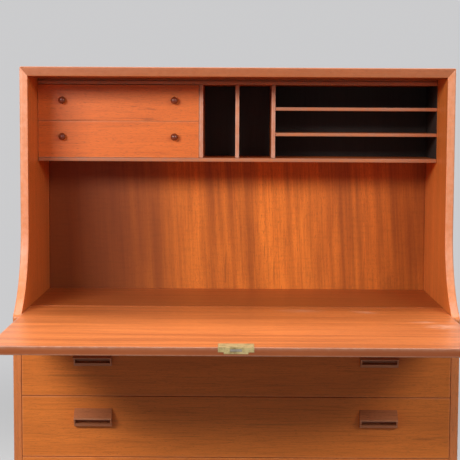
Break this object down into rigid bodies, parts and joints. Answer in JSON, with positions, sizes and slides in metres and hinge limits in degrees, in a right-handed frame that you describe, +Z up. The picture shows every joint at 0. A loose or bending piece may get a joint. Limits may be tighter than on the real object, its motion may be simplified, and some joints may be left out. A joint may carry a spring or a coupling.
{
  "type": "secretary desk",
  "caption": "Tall teak secretary desk with swept sides, a fall flap writing surface, pigeonholes and small drawers above it, and wide drawers below on turned tapered legs.",
  "frame": {"origin": "on the floor, at the middle of the box that the desk fills with its flap open", "axes": "+X to the desk's right as seen from the writer's side, +Y towards the desk's back, +Z up; the front faces -Y"},
  "size_m": [0.97, 0.8496, 1.2578],
  "materials": {
    "teak": "oiled, satin",
    "teak_flap": "oiled writing surface, satin, lightly worn",
    "teak_front": "oiled drawer fronts, satin",
    "dark_teak": "oiled solid wood, dark",
    "ribbon_veneer": "upright ribbon-figured veneer, satin",
    "drawer_wood": "plain sanded hardwood, matt",
    "plywood": "plain plywood, matt",
    "brass": "brushed and slightly dulled",
    "steel": "filed, satin"
  },
  "bodies": {
    "case": {"side_left": "teak", "side_right": "teak", "top_board": "teak", "bottom_board": "teak", "desk_board": "teak", "front_rail": "teak", "ledge_board": "teak", "unit_top": "teak", "unit_bottom": "teak", "divider_left": "teak", "divider_middle": "teak", "divider_right": "teak", "shelf_lower": "teak", "shelf_upper": "teak", "leg_rail_left": "teak", "leg_rail_right": "teak", "leg_front_left": "teak", "leg_front_right": "teak", "leg_back_left": "teak", "leg_back_right": "teak", "upper_back": "ribbon_veneer", "lower_back": "plywood", "drawer_shelf": "plywood", "runner_1_left": "drawer_wood", "runner_1_right": "drawer_wood", "runner_2_left": "drawer_wood", "runner_2_right": "drawer_wood", "runner_3_left": "drawer_wood", "runner_3_right": "drawer_wood", "keeper_plate": "brass"},
    "flap": {"flap": "teak_flap", "pivot_left": "brass", "pivot_right": "brass", "lock_case": "brass", "key_escutcheon": "brass"},
    "lock_bolt": {"lock_bolt": "steel"},
    "wide_drawer_1": {"wide_drawer_1_front": "teak_front", "wide_drawer_1_sides": "drawer_wood", "wide_drawer_1_floor": "plywood", "wide_drawer_1_pull_left": "dark_teak", "wide_drawer_1_pull_right": "dark_teak"},
    "wide_drawer_2": {"wide_drawer_2_front": "teak_front", "wide_drawer_2_sides": "drawer_wood", "wide_drawer_2_floor": "plywood", "wide_drawer_2_pull_left": "dark_teak", "wide_drawer_2_pull_right": "dark_teak"},
    "wide_drawer_3": {"wide_drawer_3_front": "teak_front", "wide_drawer_3_sides": "drawer_wood", "wide_drawer_3_floor": "plywood", "wide_drawer_3_pull_left": "dark_teak", "wide_drawer_3_pull_right": "dark_teak"},
    "small_drawer_1": {"small_drawer_1_front": "teak_front", "small_drawer_1_box": "drawer_wood", "small_drawer_1_knob_left": "dark_teak", "small_drawer_1_knob_right": "dark_teak"},
    "small_drawer_2": {"small_drawer_2_front": "teak_front", "small_drawer_2_box": "drawer_wood", "small_drawer_2_knob_left": "dark_teak", "small_drawer_2_knob_right": "dark_teak"}
  },
  "joints": [
    {"name": "flap_hinge", "type": "hinge", "parent": "case", "child": "flap", "pos_m": [0, 0.09825, 0.7118], "axis": [1, 0, 0], "range_deg": [-90, 0]},
    {"name": "lock_bolt_slide", "type": "slide", "parent": "flap", "child": "lock_bolt", "axis": [0, -1, 0], "range_m": [0, 0.008]},
    {"name": "wide_drawer_1_slide", "type": "slide", "parent": "case", "child": "wide_drawer_1", "axis": [0, -1, 0], "range_m": [0, 0.3]},
    {"name": "wide_drawer_2_slide", "type": "slide", "parent": "case", "child": "wide_drawer_2", "axis": [0, -1, 0], "range_m": [0, 0.3]},
    {"name": "wide_drawer_3_slide", "type": "slide", "parent": "case", "child": "wide_drawer_3", "axis": [0, -1, 0], "range_m": [0, 0.3]},
    {"name": "small_drawer_1_slide", "type": "slide", "parent": "case", "child": "small_drawer_1", "axis": [0, -1, 0], "range_m": [0, 0.12]},
    {"name": "small_drawer_2_slide", "type": "slide", "parent": "case", "child": "small_drawer_2", "axis": [0, -1, 0], "range_m": [0, 0.12]}
  ]
}
